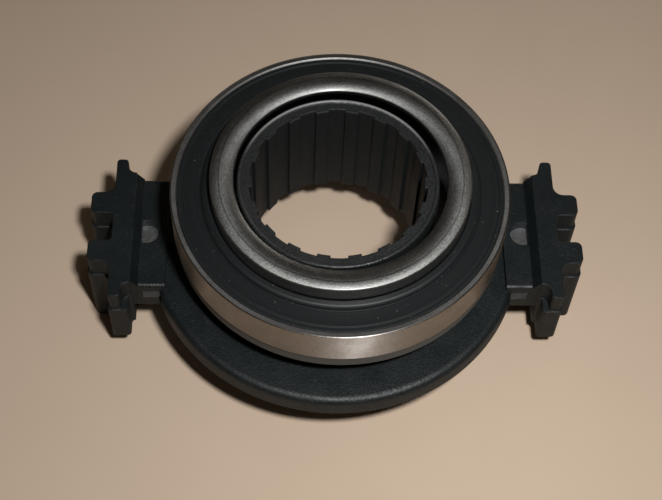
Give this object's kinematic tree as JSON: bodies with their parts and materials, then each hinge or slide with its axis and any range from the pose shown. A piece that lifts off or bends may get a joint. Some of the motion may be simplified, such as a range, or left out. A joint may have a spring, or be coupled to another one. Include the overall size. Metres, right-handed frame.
{
  "type": "clutch release bearing",
  "caption": "Self-centring clutch release bearing: sealed ball bearing with a rounded contact ring, floating on a moulded carrier with a ribbed guide bore, fork ears and side wings.",
  "frame": {"origin": "on the bore axis, at the level of the lobes' feet", "axes": "+Z along the bore towards the contact ring, +X through the ears and wings, +Y across"},
  "size_m": [0.106, 0.08, 0.0424],
  "materials": {
    "nylon": "satin, finely granular",
    "plate_steel": "satin",
    "ground_steel": "ground and polished",
    "contact_steel": "satin, fine grain",
    "seal_rubber": "semi-gloss",
    "cage_nylon": "satin",
    "spring_steel": "satin",
    "ball_steel": "polished"
  },
  "bodies": {
    "carrier": {"carrier": "nylon", "fork_plate_left": "plate_steel", "fork_plate_right": "plate_steel", "retaining_ring": "spring_steel"},
    "centring_spring": {"wave_spring": "spring_steel"},
    "outer_race": {"outer_ring": "ground_steel", "seal": "seal_rubber"},
    "contact_ring": {"inner_ring": "contact_steel"},
    "ball_set": {"cage": "cage_nylon", "ball_01": "ball_steel", "ball_02": "ball_steel", "ball_03": "ball_steel", "ball_04": "ball_steel", "ball_05": "ball_steel", "ball_06": "ball_steel", "ball_07": "ball_steel", "ball_08": "ball_steel", "ball_09": "ball_steel", "ball_10": "ball_steel", "ball_11": "ball_steel", "ball_12": "ball_steel", "ball_13": "ball_steel", "ball_14": "ball_steel", "ball_15": "ball_steel", "ball_16": "ball_steel", "ball_17": "ball_steel", "ball_18": "ball_steel", "ball_19": "ball_steel", "ball_20": "ball_steel"}
  },
  "joints": [
    {"name": "centring_x", "type": "slide", "parent": "carrier", "child": "centring_spring", "axis": [1, 0, 0], "range_m": [-0.0014, 0.0004]},
    {"name": "centring_y", "type": "slide", "parent": "centring_spring", "child": "outer_race", "axis": [0, 1, 0], "range_m": [-0.0009, 0.0009]},
    {"name": "contact_spin", "type": "hinge", "parent": "outer_race", "child": "contact_ring", "pos_m": [0.0005, 0, 0.03155], "axis": [0, 0, 1], "continuous": true},
    {"name": "ball_set_spin", "type": "hinge", "parent": "outer_race", "child": "ball_set", "pos_m": [0.0005, 0, 0.03155], "axis": [0, 0, 1], "continuous": true}
  ],
  "couplings": [
    {"joint": "ball_set_spin", "follows": "contact_spin", "ratio": 0.4448}
  ]
}
